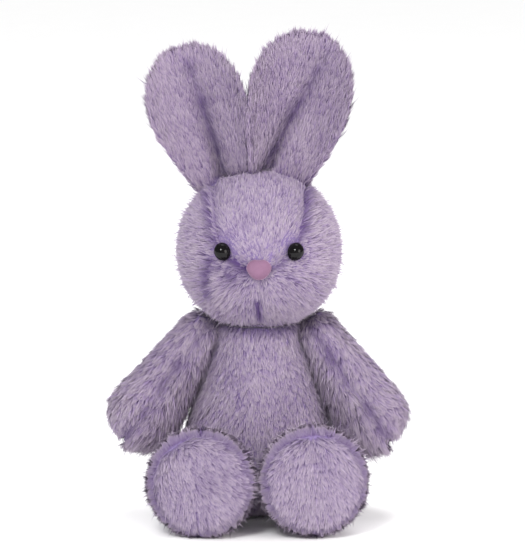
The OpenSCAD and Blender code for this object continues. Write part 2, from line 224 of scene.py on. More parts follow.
def eyeMaterial():
    made, shader, place = material("black_eye_plastic", {
        "Coat Weight": 0.42, "Coat Roughness": 0.02, "Specular IOR Level": 0.0})
    swirl = noise(place, 700, 3)
    connect(mixed(swirl, (0.002, 0.002, 0.003), (0.008, 0.007, 0.007)), shader, "Base Color")
    connect((noise(place, 900, 2) - 0.35).clamped() * 0.12 + 0.04, shader, "Roughness")
    return made


backing = grainMaterial("knitted_backing")
piles = {slot: pileMaterial(slot) for slot in pileColours}
print("materials made")


# modelling helpers

def only(piece):
    if bpy.context.object and bpy.context.object.mode != "OBJECT":
        bpy.ops.object.mode_set(mode="OBJECT")
    bpy.ops.object.select_all(action="DESELECT")
    piece.select_set(True)
    bpy.context.view_layer.objects.active = piece


def editing(piece):
    # edit mode with everything picked
    only(piece)
    bpy.ops.object.mode_set(mode="EDIT")
    bpy.ops.mesh.select_all(action="SELECT")


def edited():
    bpy.ops.object.mode_set(mode="OBJECT")


def rename(piece, name):
    piece.name = name
    piece.data.name = name
    return piece


def named(name):
    return rename(bpy.context.object, name)


def applied(piece, kind, settings):
    only(piece)
    made = piece.modifiers.new(kind.lower(), kind)
    for name, value in settings.items():
        setattr(made, name, value)
    bpy.ops.object.modifier_apply(modifier=made.name)


def places(piece):
    found = np.empty(len(piece.data.vertices) * 3)
    piece.data.vertices.foreach_get("co", found)
    return found.reshape(-1, 3)


def moveTo(piece, points):
    piece.data.vertices.foreach_set("co", np.asarray(points, np.float32).ravel())
    piece.data.update()


def normals(piece):
    found = np.empty(len(piece.data.vertices) * 3, np.float32)
    piece.data.vertices.foreach_get("normal", found)
    return found.reshape(-1, 3).astype(float)


def unit(vectors):
    return vectors / np.maximum(np.linalg.norm(vectors, axis=-1, keepdims=True), 1e-12)


def ramp(values):
    return np.clip(values, 0, 1)


def bell(values):
    return np.exp(-values ** 2)


def distance(p, centre):
    return np.linalg.norm(p - centre, axis=1)


def lathe(name, side, steps):
    # side is a line of (radius, height) points that starts and ends on the axis
    bpy.ops.mesh.primitive_plane_add(size=0.01)
    piece = named(name)
    editing(piece)
    bpy.ops.mesh.select_mode(type="VERT")
    bpy.ops.mesh.merge(type="CENTER")
    bpy.ops.transform.translate(value=(side[0][0], 0, side[0][1]))
    for (r0, z0), (r1, z1) in zip(side, side[1:]):
        bpy.ops.mesh.extrude_vertices_move(TRANSFORM_OT_translate={"value": (r1 - r0, 0, z1 - z0)})
    bpy.ops.mesh.select_all(action="SELECT")
    bpy.ops.mesh.spin(steps=steps, angle=2 * math.pi, center=(0, 0, 0), axis=(0, 0, 1))
    bpy.ops.mesh.select_all(action="SELECT")
    bpy.ops.mesh.remove_doubles(threshold=1e-5)
    bpy.ops.mesh.normals_make_consistent(inside=False)
    edited()
    return piece


def settle(piece):
    # writes the object's place into its mesh
    only(piece)
    bpy.ops.object.transform_apply(location=True, rotation=True, scale=True)


def turnTo(piece, axis, at):
    # stands the piece's upright axis along a direction
    piece.rotation_mode = "QUATERNION"
    piece.rotation_quaternion = Vector((0, 0, 1)).rotation_difference(Vector(axis))
    piece.location = at
    settle(piece)


def cutOut(piece, centre, radius):
    # presses a round hollow into a form
    bpy.ops.mesh.primitive_uv_sphere_add(segments=48, ring_count=24, radius=radius, location=centre)
    ball = named("hollow")
    applied(piece, "BOOLEAN", {"operation": "DIFFERENCE", "object": ball, "solver": "EXACT"})
    bpy.data.objects.remove(ball, do_unlink=True)


def remeshed(piece, voxel):
    only(piece)
    piece.data.remesh_voxel_size = voxel
    bpy.ops.object.voxel_remesh()


fillingFrames = 20
backingThickness = 0.0014


def fill(piece, seamGap, cfg):
    # blows the form up like a stuffed skin that its seams hold back
    rest = places(piece)
    held = seamGap(rest) < cfg["seamHeld"]
    only(piece)
    group = piece.vertex_groups.new(name="seams")
    group.add([int(i) for i in np.flatnonzero(held)], 1.0, "REPLACE")
    made = piece.modifiers.new("filling", "CLOTH")
    cloth = made.settings
    cloth.use_pressure = True
    cloth.uniform_pressure_force = cfg["pressure"]
    cloth.vertex_group_mass = "seams"
    cloth.effector_weights.gravity = 0
    cloth.quality = 5
    made.collision_settings.use_collision = False
    made.collision_settings.use_self_collision = False
    made.point_cache.frame_start = 1
    made.point_cache.frame_end = fillingFrames
    for step in range(1, fillingFrames + 1):
        scene.frame_set(step)
    bpy.ops.object.modifier_apply(modifier=made.name)
    scene.frame_set(1)
    moved = places(piece) - rest
    far = np.linalg.norm(moved, axis=1, keepdims=True)
    moveTo(piece, rest + moved * np.minimum(1, cfg["cap"] / np.maximum(far, 1e-9)))
    piece.vertex_groups.clear()
    applied(piece, "SUBSURF", {"levels": 1, "render_levels": 1})
    editing(piece)
    bpy.ops.mesh.vertices_smooth(factor=0.5, repeat=cfg["smooth"])
    edited()
    points = places(piece)
    gap = seamGap(points)
    # the stitching pulls a narrow groove along each seam
    groove = cfg["grooveDepth"] * bell(gap / cfg["grooveWidth"])
    moveTo(piece, points - normals(piece) * groove[:, None])


def cutAlong(piece, planes):
    # lays an edge loop along each seam, so that the panels part cleanly
    editing(piece)
    for centre, direction in planes:
        bpy.ops.mesh.select_all(action="SELECT")
        bpy.ops.mesh.bisect(plane_co=tuple(centre), plane_no=tuple(direction))
    edited()


def partInto(piece, panelOf, names):
    # panelOf gives each face's panel number from its middle
    parts = {}
    for number, name in enumerate(names):
        only(piece)
        middle = np.array([f.center for f in piece.data.polygons])
        wanted = panelOf(middle) == number
        if wanted.all():
            parts[name] = rename(piece, name)
            break
        piece.data.polygons.foreach_set("select", wanted)
        bpy.ops.object.mode_set(mode="EDIT")
        bpy.ops.mesh.select_mode(type="FACE")
        bpy.ops.mesh.separate(type="SELECTED")
        edited()
        panel = [o for o in bpy.context.selected_objects if o != piece][0]
        parts[name] = rename(panel, name)
    return parts


# pile

def turned(vectors, about, angle):
    # each vector turned about its own axis
    c, s = np.cos(angle)[:, None], np.sin(angle)[:, None]
    along = (about * vectors).sum(1, keepdims=True)
    return vectors * c + np.cross(about, vectors) * s + about * (along * (1 - c))


pileBase = {
    "width": 0.00046, "stray": 0.02, "wander": 0.10, "jitter": 0.14, "tuftShare": 0.045, "tuftPull": 0.5,
    "twist": 0.5, "softShade": 0.6, "paintedFoldShade": 1.0,
    "uneven": 0.22, "shortest": 0.0008, "strayLonger": 1.35, "strayRise": 0.25, "sunk": 0.0004,
    "floorGap": 0.0003, "tuftTone": 0.4,
}
stations = np.array([0.0, 0.5, 1.0])  # places along a strand, from root to tip


def growPile(panel, cfg, flow, seamGap, seed):
    # sews tufts of pile on a panel, as narrow tapered strips that lie along the nap
    rng = np.random.default_rng(seed)
    mesh = panel.data
    mesh.calc_loop_triangles()
    points, outward = places(panel), normals(panel)
    corner = np.empty(len(mesh.loop_triangles) * 3, np.int32)
    mesh.loop_triangles.foreach_get("vertices", corner)
    corner = corner.reshape(-1, 3)
    a, b, c = (points[corner[:, i]] for i in range(3))
    area = np.linalg.norm(np.cross(b - a, c - a), axis=1) / 2
    count = int(area.sum() * 1e6 * cfg["perSquareMm"])
    pick = rng.choice(len(area), count, p=area / area.sum())
    u, v = rng.random(count), rng.random(count)
    over = u + v > 1
    u[over], v[over] = 1 - u[over], 1 - v[over]
    share = np.stack([1 - u - v, u, v], 1)[:, :, None]
    root = (points[corner[pick]] * share).sum(1)
    normal = unit((outward[corner[pick]] * share).sum(1))
    length = cfg["length"](root) * np.clip(1 + cfg["uneven"] * rng.standard_normal(count), 0.4, 1.7)
    keep = length > cfg["shortest"]
    root, normal, length = root[keep], normal[keep], length[keep]
    count = len(root)
    stray = rng.random(count) < cfg["stray"]
    length = np.where(stray, length * cfg["strayLonger"], length)

    lie = flow(root, normal)
    lie = unit(lie - normal * (lie * normal).sum(1, keepdims=True))
    # the nap wanders in broad waves, and each strand a little more
    k = 2 * math.pi / cfg["wave"]
    wave = (np.sin(root[:, 0] * k + 1.3 * seed) + np.sin(root[:, 2] * k * 1.3 + 2.1) * 0.8
            + np.sin((root[:, 1] + root[:, 0]) * k * 1.7 + 0.7) * 0.6)
    lie = turned(lie, normal, wave * cfg["wander"] + rng.standard_normal(count) * cfg["jitter"])

    lift = cfg["lift"] + cfg.get("raised", steady(0.0))(root)
    rise = lift + np.where(stray, cfg["strayRise"], rng.standard_normal(count) * 0.12)
    spine = [root - normal * cfg["sunk"]]
    for first, last in zip(stations, stations[1:]):
        angle = (rise * (1.25 - 0.9 * (first + last) / 2))[:, None]
        step = (length * (last - first))[:, None]
        spine.append(spine[-1] + (lie * np.cos(angle) + normal * np.sin(angle)) * step)
    spine = np.stack(spine, 1)

    # neighbouring tips draw together into tufts
    centres = rng.choice(count, max(1, int(count * cfg["tuftShare"])), replace=False)
    tree = KDTree(len(centres))
    for place, index in enumerate(centres):
        tree.insert(root[index], place)
    tree.balance()
    nearest = centres[np.array([tree.find(p)[1] for p in root])]
    pull = cfg["tuftPull"] * rng.uniform(0.5, 1.2, count)
    draw = pull[:, None, None] * (stations ** 1.6)[None, :, None]
    draw = np.where(stray[:, None, None], 0, draw)
    spine = spine + (spine[nearest] - spine) * draw
    tuftShade = rng.random(count)[nearest]

    # no strand reaches below the ground
    lowest = cfg["floorGap"] + 2 * cfg["floorGap"] * rng.random((count, 1))
    spine[:, :, 2] = np.maximum(spine[:, :, 2], lowest)

    across = unit(np.cross(spine[:, 1] - spine[:, 0], normal))
    twist = rng.uniform(-cfg["twist"], cfg["twist"], count)
    across = turned(across, unit(spine[:, 2] - spine[:, 0]), twist)
    wide = cfg["width"] * rng.uniform(0.75, 1.25, count)[:, None] / 2
    rows = []
    for i, scale in enumerate((1.0, 0.85)):
        rows.append(spine[:, i] - across * wide * scale)
        rows.append(spine[:, i] + across * wide * scale)
    rows.append(spine[:, 2])
    strandPoints = np.stack(rows, 1).reshape(-1, 3)

    pattern = np.array([0, 1, 3, 2, 2, 3, 4])
    loops = (np.arange(count)[:, None] * 5 + pattern[None, :]).ravel()
    starts = (np.arange(count)[:, None] * 7 + np.array([0, 4])[None, :]).ravel()
    pile = bpy.data.meshes.new(panel.name + "_pile")
    pile.vertices.add(count * 5)
    pile.vertices.foreach_set("co", strandPoints.astype(np.float32).ravel())
    pile.loops.add(len(loops))
    pile.loops.foreach_set("vertex_index", loops.astype(np.int32))
    pile.polygons.add(count * 2)
    pile.polygons.foreach_set("loop_start", starts.astype(np.int32))
    pile.polygons.foreach_set("use_smooth", np.ones(count * 2, bool))
    pile.update(calc_edges=True)
    along = np.tile(np.array([0, 0, 0.5, 0.5, 1.0]), count)
    tone = (1 - cfg["tuftTone"]) * rng.random(count) + cfg["tuftTone"] * tuftShade
    # random tone per strand and tuft, with painted light added where a piece gives it
    own = np.repeat(tone + cfg.get("paintedLight", steady(0.0))(root), 5)
    # painted shade near seams, partings and creases
    gap = cfg.get("foldGap", seamGap)(root)
    fold = np.repeat(bell(gap / cfg["paintedFoldWidth"]) * cfg["paintedFoldShade"], 5)
    attribute = pile.attributes.new("pile", "FLOAT_VECTOR", "POINT")
    attribute.data.foreach_set("vector", np.stack([along, own, fold], 1).astype(np.float32).ravel())
    # the strands take most of their shading from the skin under them, as dense pile does
    ribbon = unit(np.cross(across, spine[:, 2] - spine[:, 0]))
    ribbon = ribbon * np.sign((ribbon * normal).sum(1, keepdims=True) + 1e-9)
    soft = normal * cfg["softShade"] + ribbon * (1 - cfg["softShade"])
    if "facing" in cfg:
        soft = soft + cfg["facing"](root)
    soft = unit(soft)
    pile.normals_split_custom_set_from_vertices(np.repeat(soft, 5, axis=0).tolist())
    made = bpy.data.objects.new(panel.name + "_pile", pile)
    scene.collection.objects.link(made)
    return made, count


def finishPanel(panel, slot, node, body, cfg, flow, seamGap, seed):
    pile, count = growPile(panel, cfg, flow, seamGap, seed)
    panel.data.materials.clear()
    panel.data.materials.append(backing)
    applied(panel, "SOLIDIFY", {"thickness": backingThickness, "offset": -1, "use_rim": True})
    only(panel)
    bpy.ops.object.shade_smooth()
    pile.data.materials.append(piles[slot])
    only(panel)
    pile.select_set(True)
    bpy.ops.object.join()
    panel.data.name = panel.name
    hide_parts(node)
    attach(panel, body)
    print(panel.name, count, "strands")


def segmentGap(px, pz, first, last):
    # distance from points to a straight seam
    ax, az = first
    dx, dz = last[0] - ax, last[1] - az
    t = ramp(((px - ax) * dx + (pz - az) * dz) / (dx * dx + dz * dz))
    return np.hypot(px - ax - t * dx, pz - az - t * dz)


def steady(value):
    return lambda p: np.full(len(p), value)


down = np.array([0.0, 0.0, -1.0])


# head

headCentre = np.array(joints["head_turn"])
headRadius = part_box("left_cheek")[1].x
nosePlace = np.array(sum(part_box("nose"), Vector()) / 2)
nosePlace[1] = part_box("nose")[0].y
eyePlaces = {}
for side in ("left", "right"):
    low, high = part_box(side + "_eye")
    eyePlaces[side] = np.array(((low.x + high.x) / 2, low.y, (low.z + high.z) / 2))

head = {
    "voxel": 0.004, "size": 0.997, "chin": -0.036,
    "underEye": ((-0.0265, -0.001), (-0.0270, -0.020)),
    "besideNose": ((-0.021, -0.0045), (-0.0125, -0.0085)),
    "chinParting": ((-0.0008, -0.022), (-0.0002, -0.033)),
    "partingPaintedShade": {"faceGusset": 0.30, "rightCheek": 1.25},
    "cheekOut": 0.0024, "browIn": 0.0006, "eyeDent": 0.0010,
    "seamHeld": 0.003, "pressure": 4.0, "cap": 0.0035, "smooth": 3,
    "grooveDepth": 0.0010, "grooveWidth": 0.0032,
}
headPile = dict(pileBase, perSquareMm=4.4, backDense=4.0, wave=0.055, lift=0.42, paintedFoldWidth=0.0034,
                foreheadFlat=0.14, flare=0.36, shortPile=0.0050, sideLonger=0.0024, backLonger=0.0008,
                chinTuft=0.0016, muzzleLonger=0.0006, noseBare=0.0070, eyeBare=0.0045)


# the forehead panel's edge, out and up from the head's centre
tip, brow, crown = gusset = (0.0057, -0.004), (0.0215, 0.006), (0.029, headRadius)


def gussetGap(x, z):
    # distance to the seams on both sides of the forehead
    return np.minimum(segmentGap(np.abs(x), z, tip, brow), segmentGap(np.abs(x), z, brow, crown))


def headSeamGap(p):
    x, y, z = (p - headCentre).T
    chin = np.where(z < tip[1], np.abs(x), 1)
    front = np.where(y < 0, np.minimum(gussetGap(x, z), chin), 1)
    back = np.where(y > 0, np.abs(x), 1)
    return np.minimum(np.minimum(front, back), np.abs(y))


def headPanel(p):
    # 0 forehead, 1 and 2 cheeks, 3 and 4 backs
    x, y, z = (p - headCentre).T
    wide = np.where(z < brow[1],
                    tip[0] + (z - tip[1]) / (brow[1] - tip[1]) * (brow[0] - tip[0]),
                    brow[0] + (z - brow[1]) / (crown[1] - brow[1]) * (crown[0] - brow[0]))
    forehead = (z > tip[1]) & (np.abs(x) < wide)
    left = x > 0
    return np.where(y > 0, np.where(left, 3, 4), np.where(forehead, 0, np.where(left, 1, 2)))


def headFlow(p, n):
    # the nap spreads from the nose, and hangs a little on the cheeks and the back
    away = unit(p - nosePlace)
    q = (p - headCentre) / headRadius
    hang = np.clip(0.25 + 0.9 * q[:, 1] + 0.25 * np.abs(q[:, 0]), 0, 1.6)
    cheek = (headPanel(p) > 0) & (q[:, 1] < 0)
    hang = np.where(cheek | (q[:, 1] > 0), hang, -0.3)[:, None]
    side = np.zeros_like(p)
    side[:, 0] = np.sign(q[:, 0]) * np.where(cheek & (q[:, 2] > -0.2), 0.55, 0)
    return away + down * hang + side


def headRaised(p):
    # the forehead lies flat, the cheeks stand off it
    flare = bell(partingGap(p) / 0.009) * ((p - headCentre)[:, 2] > -0.012)
    return np.where(headPanel(p) == 0, -headPile["foreheadFlat"], headPile["flare"] * flare)


def headLength(p):
    toNose = distance(p, nosePlace)
    toEye = np.minimum(*(distance(p, eyePlaces[s]) for s in eyePlaces))
    q = (p - headCentre) / headRadius
    length = (headPile["shortPile"] + headPile["sideLonger"] * ramp(np.abs(q[:, 0]) * 1.2)
              + headPile["backLonger"] * ramp(q[:, 1]))
    length = np.where(headPanel(p) == 0, headPile["shortPile"], length)
    tuft = np.exp(-((q[:, 0] - 0.03) / 0.07) ** 2 - ((q[:, 2] + 0.74) / 0.10) ** 2) * (q[:, 1] < 0)
    muzzleSide = (q[:, 2] < -0.15) & (q[:, 1] < -0.4)
    length = length + headPile["chinTuft"] * tuft + headPile["muzzleLonger"] * muzzleSide
    length = length * np.clip(0.40 + toNose / 0.040, 0.4, 1)
    length = length * ramp((toEye - headPile["eyeBare"]) / 0.010)
    return np.where(toNose < headPile["noseBare"], 0, length)


def partingGap(p):
    # the partings beside the forehead, under the right eye and on the chin, where the pile stands off and
    # painted shade falls
    x, y, z = (p - headCentre).T
    seam = gussetGap(x, z)
    seam = np.where(x > 0, seam * 1.5 + 0.0006, seam * 0.85)
    under = segmentGap(x, z, *head["underEye"]) + 0.0010
    beside = segmentGap(x, z, *head["besideNose"]) + 0.0012
    chin = segmentGap(x, z, *head["chinParting"]) * 1.6
    gap = np.minimum(np.minimum(seam, chin), np.minimum(under, beside))
    return np.where(y < 0, np.where(z < head["chin"], 1, gap), np.abs(x) + 0.002)


bpy.ops.mesh.primitive_ico_sphere_add(subdivisions=5, radius=headRadius * head["size"], location=headCentre)
skull = named("skull")
settle(skull)
remeshed(skull, head["voxel"])
fill(skull, headSeamGap, head)
points = places(skull)
q = (points - headCentre) / headRadius
x, y, z = q.T
cheek = np.exp(-((np.abs(x) - 0.62) / 0.34) ** 2 - ((z + 0.30) / 0.42) ** 2 - ((y + 0.55) / 0.60) ** 2)
dip = np.exp(-(x / 0.36) ** 2 - ((z - 0.42) / 0.40) ** 2) * (y < 0)
dent = sum(bell(distance(points, eyePlaces[s]) / 0.0085) for s in eyePlaces)
push = cheek * head["cheekOut"] - dip * head["browIn"] - dent * head["eyeDent"]
moveTo(skull, points + unit(q) * push[:, None])

seams = [(headCentre, (0, 1, 0)), (headCentre, (1, 0, 0)), (headCentre + Vector((0, 0, tip[1])), (0, 0, 1))]
for side in (1, -1):
    line = [Vector((side * wide, 0, high)) for wide, high in gusset]
    for first, last in zip(line, line[1:]):
        across = (last - first).cross(Vector((0, 1, 0)))
        seams.append((Vector(headCentre) + first, across))
cutAlong(skull, seams)
names = ["faceGusset", "leftCheek", "rightCheek", "headBackLeft", "headBackRight"]
cadNames = ["face_gusset", "left_cheek", "right_cheek", "head_back_left", "head_back_right"]
headPanels = partInto(skull, headPanel, names)
headPile.update(length=headLength, raised=headRaised, foldGap=partingGap)
for number, (name, node) in enumerate(zip(names, cadNames)):
    # how strongly painted shade falls on this panel's partings
    paintedShade = head["partingPaintedShade"].get(name, 1.0)
    cfg = dict(headPile, paintedFoldShade=headPile["paintedFoldShade"] * paintedShade)
    if number > 2:
        cfg["perSquareMm"] = headPile["backDense"]
    finishPanel(headPanels[name], "plush", node, "head", cfg, headFlow, headSeamGap, 10 + number)
print("head made")


# torso

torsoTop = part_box("belly")[1].z
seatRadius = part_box("seat")[1].x
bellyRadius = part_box("back_left")[1].y
torso = {
    "voxel": 0.004, "size": 0.997, "wideAt": 0.030, "neckRadius": 0.024, "hollow": 1.5, "steps": 14,
    "headGap": 0.0002, "limbGap": 0.0008, "seatSeam": 0.0025, "lift": 0.0004, "ground": 0.0003,
    "seamHeld": 0.003, "pressure": 4.0, "cap": 0.003, "smooth": 2,
    "grooveDepth": 0.0007, "grooveWidth": 0.003,
}
torsoPile = dict(pileBase, stray=0.01, wave=0.06, lift=0.34, paintedFoldWidth=0.0045,
                 shortPile=0.0050, backLonger=0.0012, armLonger=0.0022, seatPile=0.0030, armRaised=0.5)
torsoPanels = {  # the node that each stands for, its slot and its strands a square millimetre
    "seatPanel": ("seat", "plush_sole", 2.6),
    "bellyPanel": ("belly", "plush", 3.6),
    "backLeft": ("back_left", "plush", 3.4),
    "backRight": ("back_right", "plush", 3.4),
}
shoulderRadius = 0.012
hipRadius = 0.020
hollows = [(headCentre, headRadius + torso["headGap"])]
for side in ("left", "right"):
    hollows.append((np.array(joints[side + "_arm_swing"]), shoulderRadius + torso["limbGap"]))
    hollows.append((np.array(joints[side + "_leg_lift"]), hipRadius + torso["limbGap"]))


def torsoSide():
    low = [(0.0, 0.0)]
    for i in range(torso["steps"] + 1):
        a = math.radians(90 * i / torso["steps"])
        wide = seatRadius + (bellyRadius - seatRadius) * math.sin(a)
        low.append((wide, torso["wideAt"] * (1 - math.cos(a))))
    for i in range(1, torso["steps"] + 1):
        t = i / torso["steps"]
        bulge = max(0, math.cos(t * math.pi / 2)) ** torso["hollow"]
        wide = torso["neckRadius"] + (bellyRadius - torso["neckRadius"]) * bulge
        low.append((wide, torso["wideAt"] + (torsoTop - torso["wideAt"]) * t))
    low.append((0.0, torsoTop))
    return [(r * torso["size"], h * torso["size"] + torso["lift"]) for r, h in low]


def torsoSeamGap(p):
    x, y, z = p.T
    back = np.where(y > 0, np.abs(x), 1)
    seat = np.hypot(np.hypot(x, y) - seatRadius * 0.98, z)
    return np.minimum(np.minimum(back, np.abs(y)), seat)


def torsoHeld(p):
    # the hollows for the head, arms and legs are held as well as the seams
    gap = torsoSeamGap(p)
    for centre, radius in hollows:
        gap = np.minimum(gap, np.maximum(distance(p, centre) - radius, 0) + 0.0005)
    return np.where(p[:, 2] < 0.002, 0, gap)


def torsoPanel(p):
    # 0 seat, 1 belly, 2 and 3 backs
    x, y, z = p.T
    flat = (z < torso["seatSeam"]) & (np.hypot(x, y) < seatRadius)
    return np.where(flat, 0, np.where(y < 0, 1, np.where(x > 0, 2, 3)))


def torsoFlow(p, n):
    return np.tile(down + np.array([0.0, -0.05, 0.0]), (len(p), 1))


def torsoLength(p):
    length = (torsoPile["shortPile"] + torsoPile["backLonger"] * ramp(p[:, 1] / bellyRadius)
              + torsoPile["armLonger"] * besideArm(p))
    return np.where(p[:, 2] < 0.004, torsoPile["seatPile"], length)


def besideArm(p):
    # how near a point is to the torso's side, where the arm hangs against it
    return bell(p[:, 1] / 0.016) * ramp(1.6 - p[:, 2] / 0.05)


def torsoRaised(p):
    return torsoPile["armRaised"] * besideArm(p)


def torsoPaintedShadeGap(p):
    # painted shade where the head and the arms press on the torso
    gap = distance(p, headCentre) - headRadius
    for centre, radius in hollows[1:]:
        gap = np.minimum(gap, distance(p, centre) - radius + 0.001)
    return np.maximum(gap, 0)


trunk = lathe("trunk", torsoSide(), 64)
for centre, radius in hollows:
    cutOut(trunk, centre, radius)
remeshed(trunk, torso["voxel"])
fill(trunk, torsoHeld, torso)
points = places(trunk)
points[:, 2] = np.maximum(points[:, 2], torso["ground"])
moveTo(trunk, points)
cutAlong(trunk, [((0, 0, 0), (0, 1, 0)), ((0, 0, 0), (1, 0, 0)), ((0, 0, torso["seatSeam"]), (0, 0, 1))])
trunkPanels = partInto(trunk, torsoPanel, torsoPanels)
torsoPile.update(length=torsoLength, raised=torsoRaised, foldGap=torsoPaintedShadeGap)
for number, (name, (node, slot, dense)) in enumerate(torsoPanels.items()):
    cfg = dict(torsoPile, perSquareMm=dense)
    finishPanel(trunkPanels[name], slot, node, "torso", cfg, torsoFlow, torsoSeamGap, 20 + number)
print("torso made")


# tail

tail = {
    "voxel": 0.003, "seamHeld": 0.002, "pressure": 4.0, "cap": 0.002, "smooth": 2,
    "grooveDepth": 0.0, "grooveWidth": 0.003, "size": 0.98, "openAt": 0.001,
}
tailPile = dict(headPile, perSquareMm=3.6, lift=0.8, tuftShare=0.03, length=steady(0.0070))
low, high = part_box("tail_cover")
tailRadius = (high.z - low.z) / 2
tailCentre = np.array((0, high.y - tailRadius, (high.z + low.z) / 2))
tailFront = low.y


def tailSeamGap(p):
    return np.abs(p[:, 1] - tailFront)


def tailFlow(p, n):
    return unit(p - tailCentre) * 0.2 + down * 0.7 + np.array([0.0, 0.5, 0.0])


bpy.ops.mesh.primitive_ico_sphere_add(subdivisions=4, radius=tailRadius * tail["size"], location=tailCentre)
puff = named("tailPuff")
settle(puff)
editing(puff)
bpy.ops.mesh.bisect(plane_co=(0, tailFront + tail["openAt"], 0), plane_no=(0, 1, 0),
                    clear_inner=True, use_fill=True)
edited()
remeshed(puff, tail["voxel"])
fill(puff, tailSeamGap, tail)
puff.name = "tailCover"
finishPanel(puff, "plush", "tail_cover", "torso", tailPile, tailFlow, tailSeamGap, 30)
print("tail made")


# arms

arm = {
    "voxel": 0.004, "size": 0.995, "steps": 9, "seamHeld": 0.0028, "pressure": 4.0, "cap": 0.0022,
    "smooth": 3, "grooveDepth": 0.0010, "grooveWidth": 0.003, "skin": 0.0019, "innerSwell": 0.0036,
    "innerFrom": -0.004, "rounds": 40,
}
armPile = dict(pileBase, perSquareMm=4.0, width=0.00050, stray=0.025, wave=0.045, wander=0.16, jitter=0.18,
               lift=0.42, tuftShare=0.028, tuftPull=0.6, softShade=0.55, paintedFoldWidth=0.0036, paintedFoldShade=0.85,
               longPile=0.0064, pawLonger=0.0014, innerLonger=0.0028, outerShorter=0.0010,
               innerRaised=0.35)


def twoArcs(first, last, run, rise, slope, steps):
    # the outline of a ball and a round end, with a straight side that touches both
    line = []
    for i in range(steps + 1):
        a = -math.pi / 2 + (math.pi / 2 - slope) * i / steps
        line.append((first * math.cos(a), first * math.sin(a)))
    for i in range(steps + 1):
        a = -slope + (math.pi / 2 + slope) * i / steps
        line.append((run + last * math.cos(a), rise + last * math.sin(a)))
    line[0] = (0.0, -first)
    return line


def sideways(axis, other, sign):
    # square to both directions, and away from the toy's middle
    across = unit(np.cross(axis, other))
    return -across if across[0] * sign < 0 else across


def makeArm(side, sign):
    shoulder = np.array(joints[side + "_arm_swing"])
    low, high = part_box(side + "_arm_stuffing")
    stuffed = (high.y - low.y) / 2
    wide = stuffed + arm["skin"]
    farX = high.x if sign > 0 else low.x
    paw = np.array((farX - sign * stuffed, low.y + stuffed, low.z + stuffed))
    reach = np.linalg.norm(paw - shoulder)
    axis = (paw - shoulder) / reach
    across = sideways(axis, (0.0, 1.0, 0.0), sign)

    def seamGap(p):
        return np.abs((p - shoulder) @ across)

    def flow(p, n):
        return np.tile(axis + down * 0.35, (len(p), 1))

    def foldGap(p):
        # the painted shade of the parting comes and goes along the seam
        u = (p - shoulder) @ axis
        broken = 0.0016 * (1 + np.sin(u * 260 + sign) * np.sin(u * 110))
        return seamGap(p) + broken + 0.02 * ramp(u - reach)

    def isInner(p):
        return (p - shoulder) @ across < arm["innerFrom"]

    def length(p):
        u = ramp((p - shoulder) @ axis / reach)
        change = np.where(isInner(p), armPile["innerLonger"], -armPile["outerShorter"])
        return armPile["longPile"] + armPile["pawLonger"] * u + change * u

    ball, end = shoulderRadius * arm["size"], wide * arm["size"]
    outline = twoArcs(ball, end, 0.0, reach, math.asin((end - ball) / reach), arm["steps"])
    outline[-1] = (0.0, reach + end)
    form = lathe(side + "ArmForm", outline, arm["rounds"])
    turnTo(form, axis, shoulder)
    remeshed(form, arm["voxel"])
    fill(form, seamGap, arm)
    points = places(form)
    inward = ramp(-(points - shoulder) @ across / wide)
    u = ramp((points - shoulder) @ axis / reach)
    moveTo(form, points - across * (arm["innerSwell"] * inward * u)[:, None])
    cutAlong(form, [(shoulder, across)])
    names = [side + "ArmOuter", side + "ArmInner"]
    panels = partInto(form, lambda p: np.where((p - shoulder) @ across > 0, 0, 1), names)
    cfg = dict(armPile, length=length, foldGap=foldGap,
               raised=lambda p: armPile["innerRaised"] * isInner(p))
    for number, name in enumerate(names):
        node = side + ("_arm_outer", "_arm_inner")[number]
        finishPanel(panels[name], "plush", node, side + "_arm", cfg, flow, seamGap,
                    40 + number + 2 * sign)


makeArm("left", 1)
makeArm("right", -1)
print("arms made")


# legs

leg = {
    "voxel": 0.004, "size": 0.997, "steps": 9, "rounds": 48,
    "seamHeld": 0.0026, "pressure": 4.0, "cap": 0.0022, "smooth": 3,
    "grooveDepth": 0.0006, "grooveWidth": 0.0024, "ground": 0.0004,
    "reach": 0.054, "footRadius": 0.0305, "edge": 0.010, "soleDepth": 0.003, "soleDome": 0.0015,
    "frontFrom": 0.66, "frontRun": 0.24, "rimFrom": 0.80, "rimRun": 0.06,
}
legPile = dict(pileBase, perSquareMm=4.0, width=0.00048, stray=0.025, wave=0.045, wander=0.15, jitter=0.18,
               lift=0.45, tuftShare=0.03, softShade=0.55, paintedFoldWidth=0.0021, paintedFoldShade=0.95,
               longPile=0.0066, rimShorter=0.0018, frontRise=0.35, frontPaintedLight=0.34)
solePile = dict(legPile, perSquareMm=4.8, lift=0.36, jitter=0.15, tuftShare=0.04,
                shortPile=0.0052, rimLonger=0.0006)


def legSide(reach):
    # hip ball, widening leg and a flat foot with a rounded edge
    edge = leg["edge"]
    run, rise = leg["footRadius"] - edge, reach - edge
    slope = math.acos((hipRadius - edge) / math.hypot(run, rise)) - math.atan2(rise, run)
    line = twoArcs(hipRadius, edge, run, rise, slope, leg["steps"])
    line.append((0.0, reach + leg["soleDome"]))
    return [(x * leg["size"], y * leg["size"]) for x, y in line]


